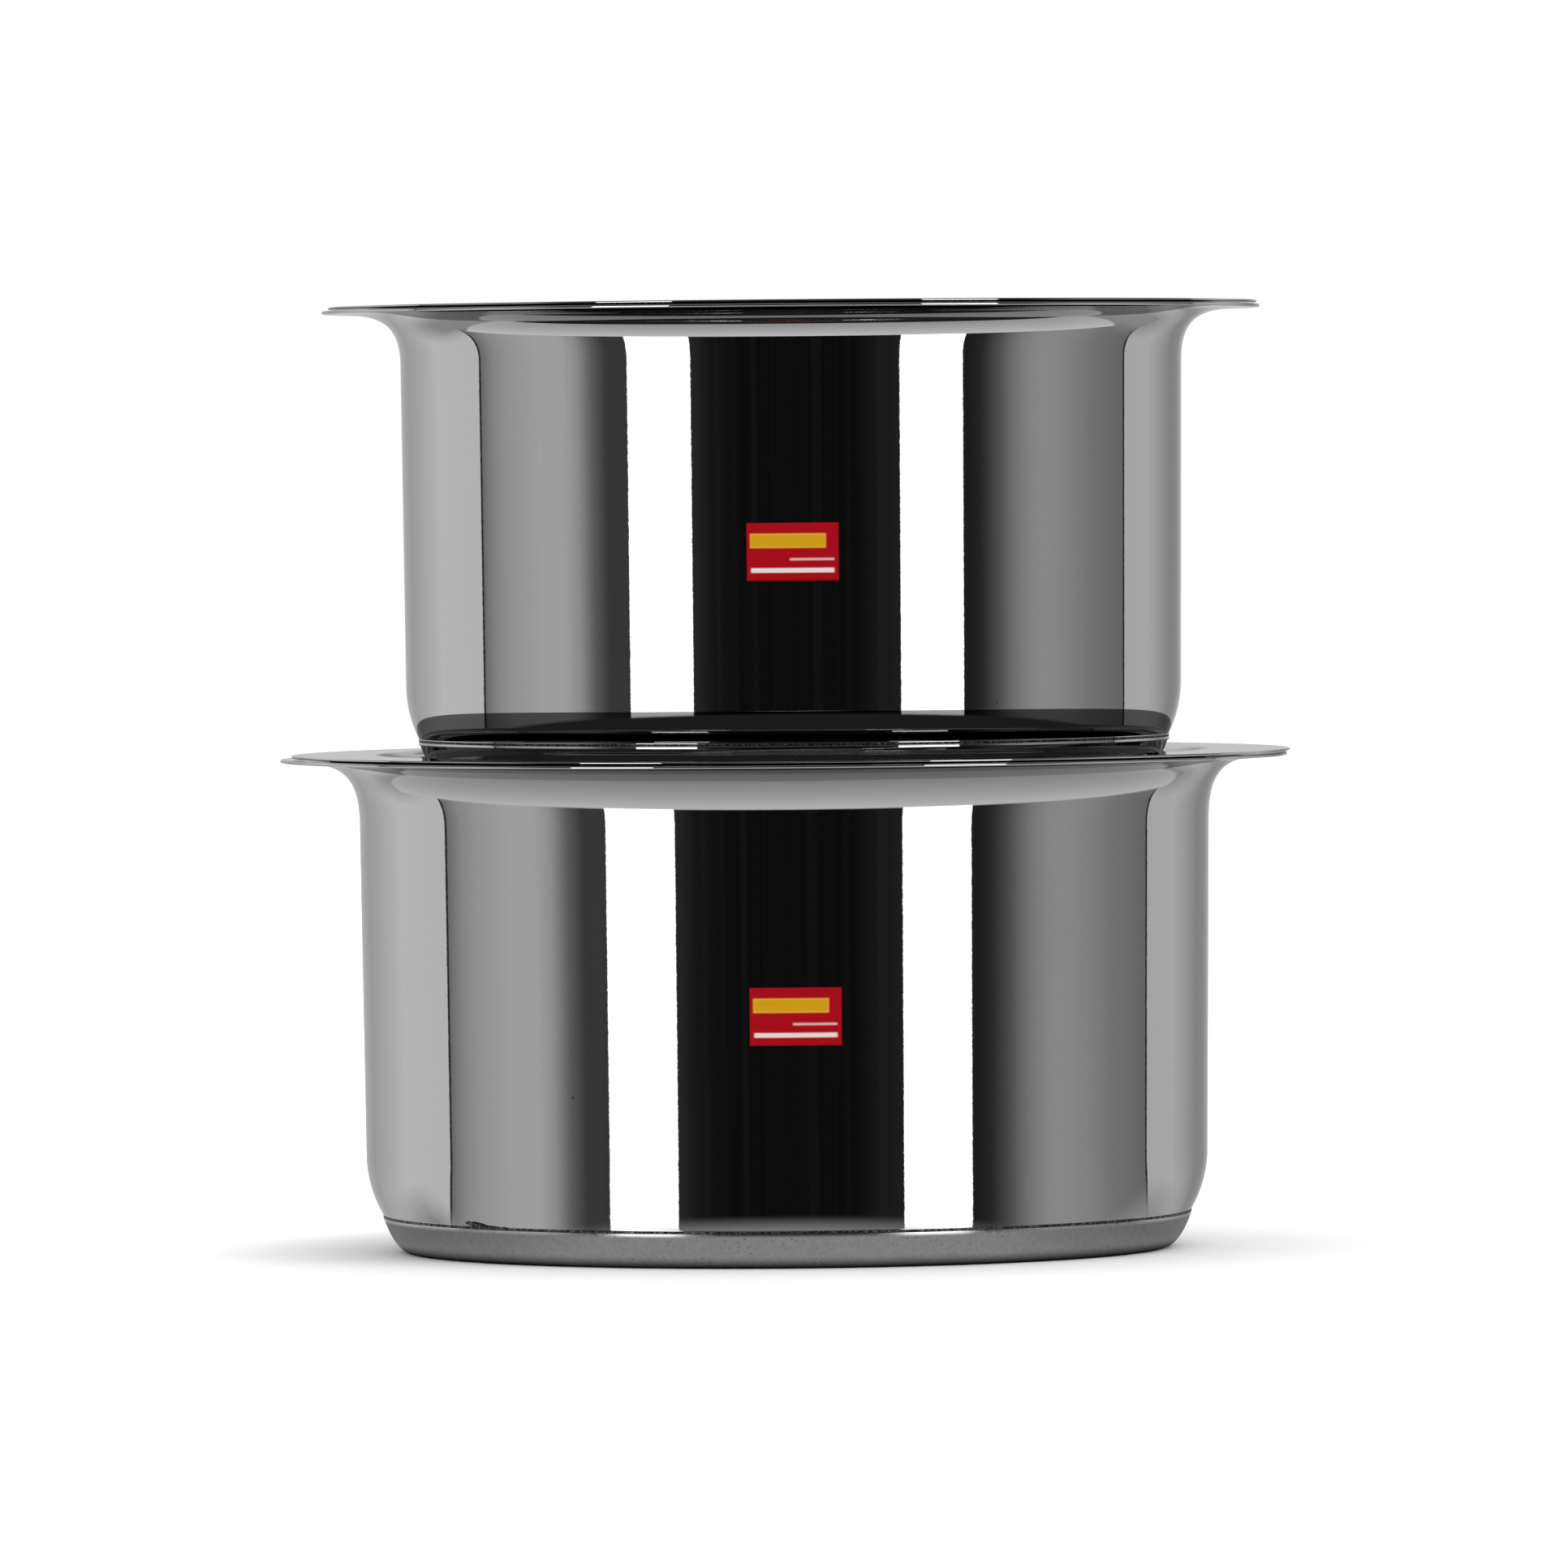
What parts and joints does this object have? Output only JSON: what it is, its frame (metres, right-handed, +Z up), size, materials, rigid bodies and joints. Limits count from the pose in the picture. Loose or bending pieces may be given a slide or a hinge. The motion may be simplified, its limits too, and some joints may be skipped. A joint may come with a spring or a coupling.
{
  "type": "stacked cooking pans with lids",
  "caption": "Flared-rim stainless steel pans without handles, stacked on each other's recessed flat lids, each with a sealed heat-spreading base that stands flat.",
  "frame": {"origin": "centre of the flat underside of the lower pan's base, on the surface it stands on", "axes": "+Z up along the pans' axis; -Y towards the front, where the stickers are; +X to the right seen from the front"},
  "size_m": [0.2146, 0.214, 0.2007],
  "materials": {
    "polished_steel": "mirror-polished stainless steel with fine hairlines",
    "satin_steel": "satin stainless steel with small pits",
    "core_aluminium": "mill finish",
    "label_foil": "glossy red foil sticker"
  },
  "bodies": {
    "lower_pan": {"lower_pan_body": "polished_steel", "lower_heat_core": "core_aluminium", "lower_base_cap": "satin_steel", "lower_label": "label_foil"},
    "lower_lid": {"lower_lid": "polished_steel"},
    "upper_pan": {"upper_pan_body": "polished_steel", "upper_heat_core": "core_aluminium", "upper_base_cap": "satin_steel", "upper_label": "label_foil"},
    "upper_lid": {"upper_lid": "polished_steel"}
  },
  "joints": [
    {"name": "lower_lid_lift", "type": "slide", "parent": "lower_pan", "child": "lower_lid", "axis": [0, 0, 1], "range_m": [0, 0.1]},
    {"name": "upper_pan_lift", "type": "slide", "parent": "lower_lid", "child": "upper_pan", "axis": [0, 0, 1], "range_m": [0, 0.1]},
    {"name": "upper_lid_lift", "type": "slide", "parent": "upper_pan", "child": "upper_lid", "axis": [0, 0, 1], "range_m": [0, 0.1]}
  ]
}
